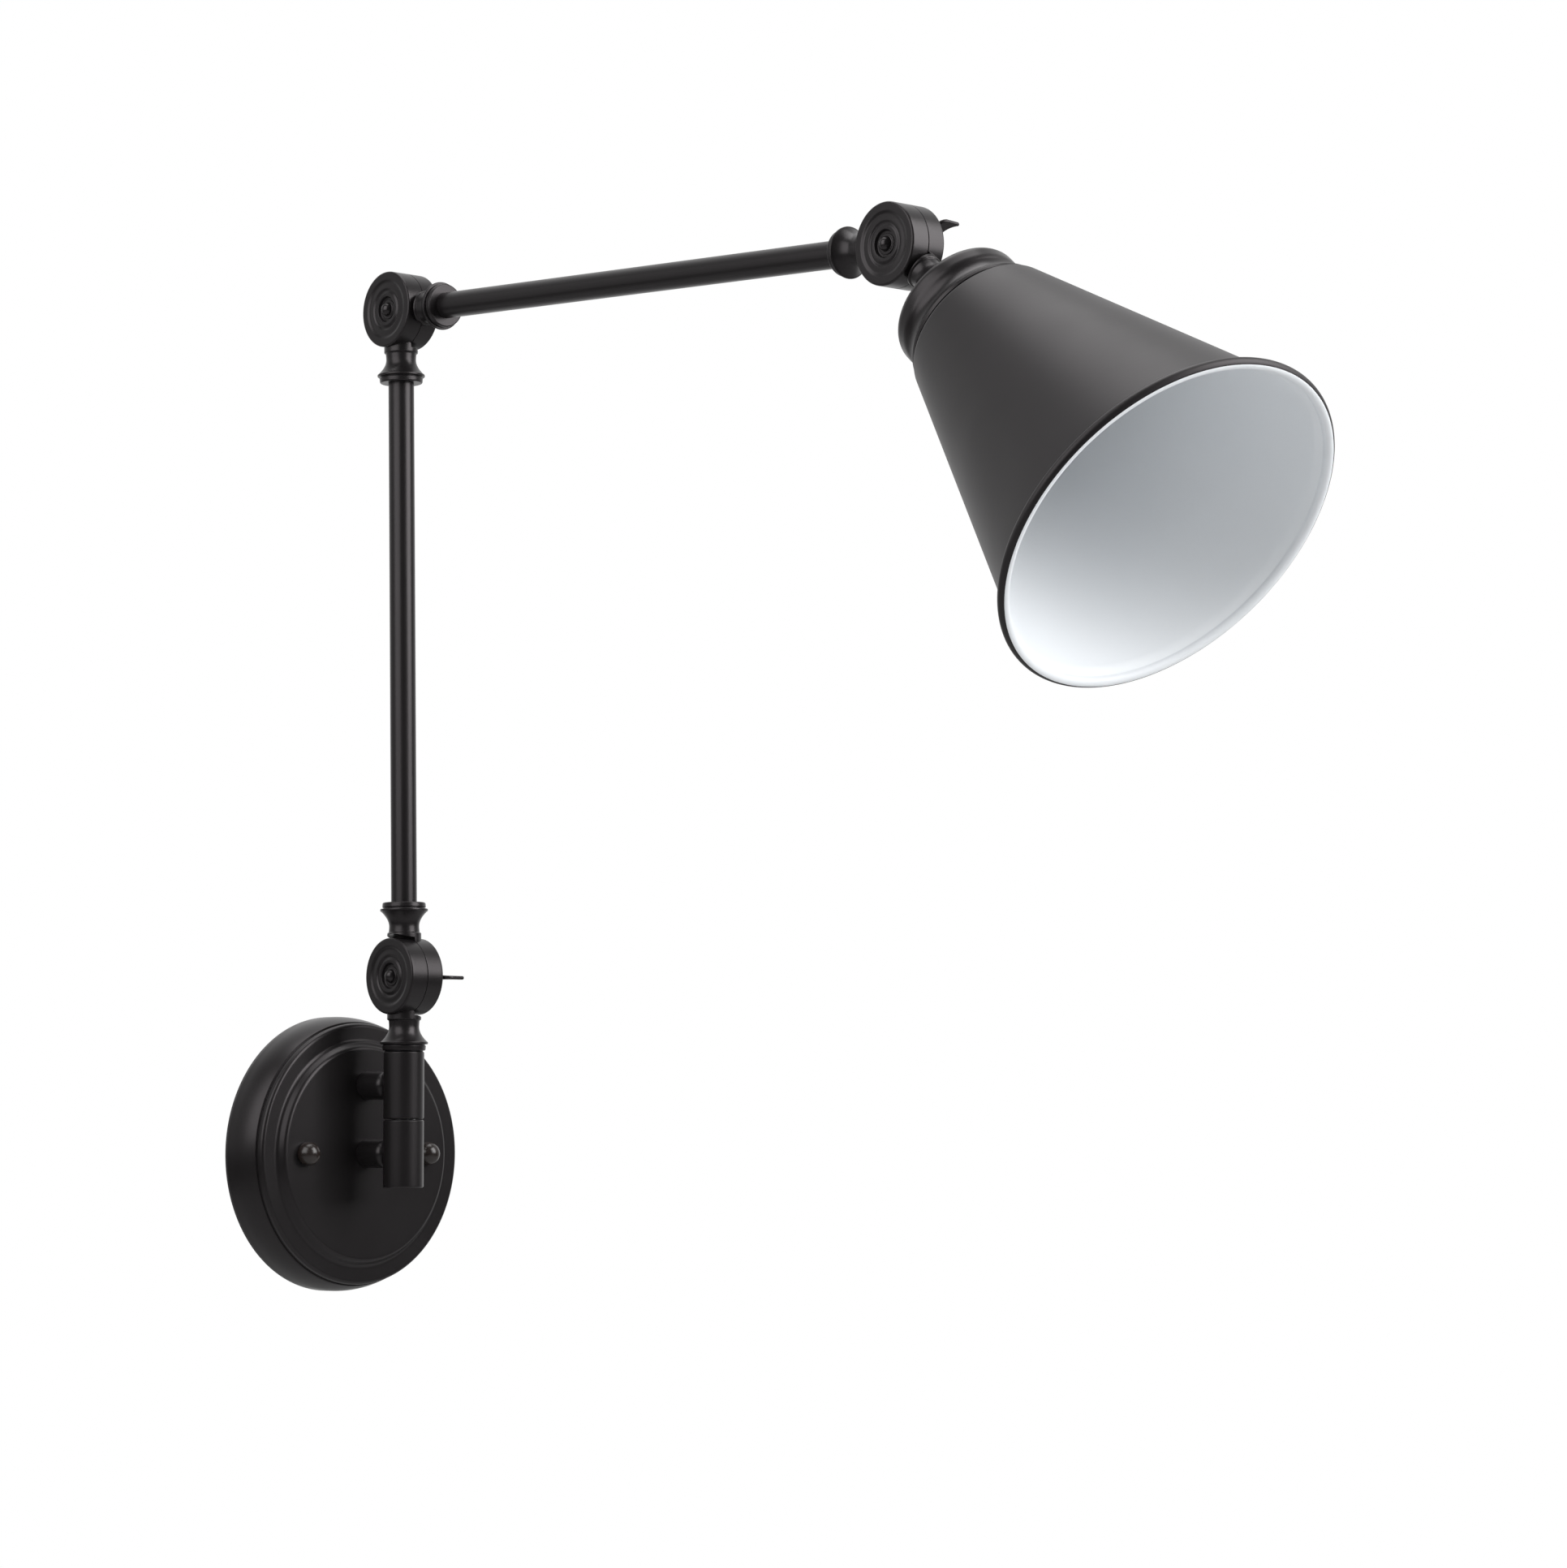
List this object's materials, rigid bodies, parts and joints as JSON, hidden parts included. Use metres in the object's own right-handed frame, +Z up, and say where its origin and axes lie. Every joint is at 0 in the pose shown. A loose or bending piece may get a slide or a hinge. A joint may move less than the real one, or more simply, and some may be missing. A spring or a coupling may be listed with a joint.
{
  "type": "articulating wall lamp",
  "caption": "Wall lamp on a round canopy, with a swivelling two-part arm of tubes, clamped knuckles with wing nuts, and a tilting cone shade with a flared rim.",
  "frame": {"origin": "centre of the wall bracket's screw pattern, on the wall", "axes": "+X out of the wall, +Z up, +Y along the wall; the arm plane is turned 4.6 degrees about the upright pivot in the pose that the part is built in"},
  "size_m": [0.5497, 0.1701, 0.4458],
  "materials": {
    "black_metal": "satin black",
    "shade_metal": "satin black outside, white inside",
    "dark_bronze": "dark antique bronze, polished",
    "zinc_steel": "zinc plated",
    "green_screw": "green",
    "brass": "bright",
    "black_plastic": "moulded phenolic",
    "fibre": "vulcanised fibre"
  },
  "bodies": {
    "wall_base": {"canopy": "black_metal", "stiffener_plate": "zinc_steel", "mounting_bracket": "zinc_steel", "mounting_studs": "zinc_steel", "stud_nuts": "zinc_steel", "cap_nuts": "dark_bronze", "post_locknuts": "zinc_steel", "ground_screw": "green_screw", "upper_post": "black_metal", "lower_post": "black_metal", "upper_sleeve": "black_metal", "lower_sleeve": "black_metal", "upper_bush": "brass", "lower_bush": "brass", "sleeve_end_cap": "black_metal"},
    "swivel": {"spindle": "zinc_steel", "spindle_washer": "zinc_steel", "spindle_ring_nut": "zinc_steel", "thrust_washer": "zinc_steel", "base_knuckle_front": "black_metal", "base_bolt": "black_metal", "base_friction_washer": "fibre"},
    "lower_arm": {"base_knuckle_rear": "black_metal", "base_nut_washer": "zinc_steel", "lower_tube": "black_metal", "elbow_knuckle_front": "black_metal", "elbow_bolt": "black_metal", "elbow_friction_washer": "fibre"},
    "upper_arm": {"elbow_knuckle_rear": "black_metal", "elbow_nut_washer": "zinc_steel", "upper_tube": "black_metal", "head_knuckle_front": "black_metal", "head_bolt": "black_metal", "head_friction_washer": "fibre"},
    "head": {"head_knuckle_rear": "black_metal", "head_nut_washer": "zinc_steel", "nipple": "zinc_steel", "cup": "black_metal", "cup_locknut": "zinc_steel", "lampholder": "black_plastic", "screw_shell": "brass", "centre_contact": "brass", "shade_ring": "black_plastic", "shade": "shade_metal"},
    "base_nut": {"base_wing_nut": "black_metal"},
    "elbow_nut": {"elbow_wing_nut": "black_metal"},
    "head_nut": {"head_wing_nut": "black_metal"}
  },
  "joints": [
    {"name": "base_swivel", "type": "hinge", "parent": "wall_base", "child": "swivel", "pos_m": [0.048, 0, 0], "axis": [0, 0, 1], "range_deg": [-82, 90]},
    {"name": "base_tilt", "type": "hinge", "parent": "swivel", "child": "lower_arm", "pos_m": [0.048, 0, 0.07675], "axis": [0.0802, 0.9968, 0], "range_deg": [-4, 128]},
    {"name": "elbow_tilt", "type": "hinge", "parent": "lower_arm", "child": "upper_arm", "pos_m": [0.04266, 0.00043, 0.3692], "axis": [-0.0802, -0.9968, 0], "range_deg": [-33, 220]},
    {"name": "head_tilt", "type": "hinge", "parent": "upper_arm", "child": "head", "pos_m": [0.35857, -0.02499, 0.35392], "axis": [0.0802, 0.9968, 0], "range_deg": [-165, 88]},
    {"name": "base_nut_turn", "type": "hinge", "parent": "lower_arm", "child": "base_nut", "pos_m": [0.048, 0, 0.07675], "axis": [0.0802, 0.9968, 0], "range_deg": [-15, 180]},
    {"name": "elbow_nut_turn", "type": "hinge", "parent": "upper_arm", "child": "elbow_nut", "pos_m": [0.04266, 0.00043, 0.3692], "axis": [0.0802, 0.9968, 0], "range_deg": [-15, 180]},
    {"name": "head_nut_turn", "type": "hinge", "parent": "head", "child": "head_nut", "pos_m": [0.35857, -0.02499, 0.35392], "axis": [0.0802, 0.9968, 0], "range_deg": [-15, 180]}
  ]
}
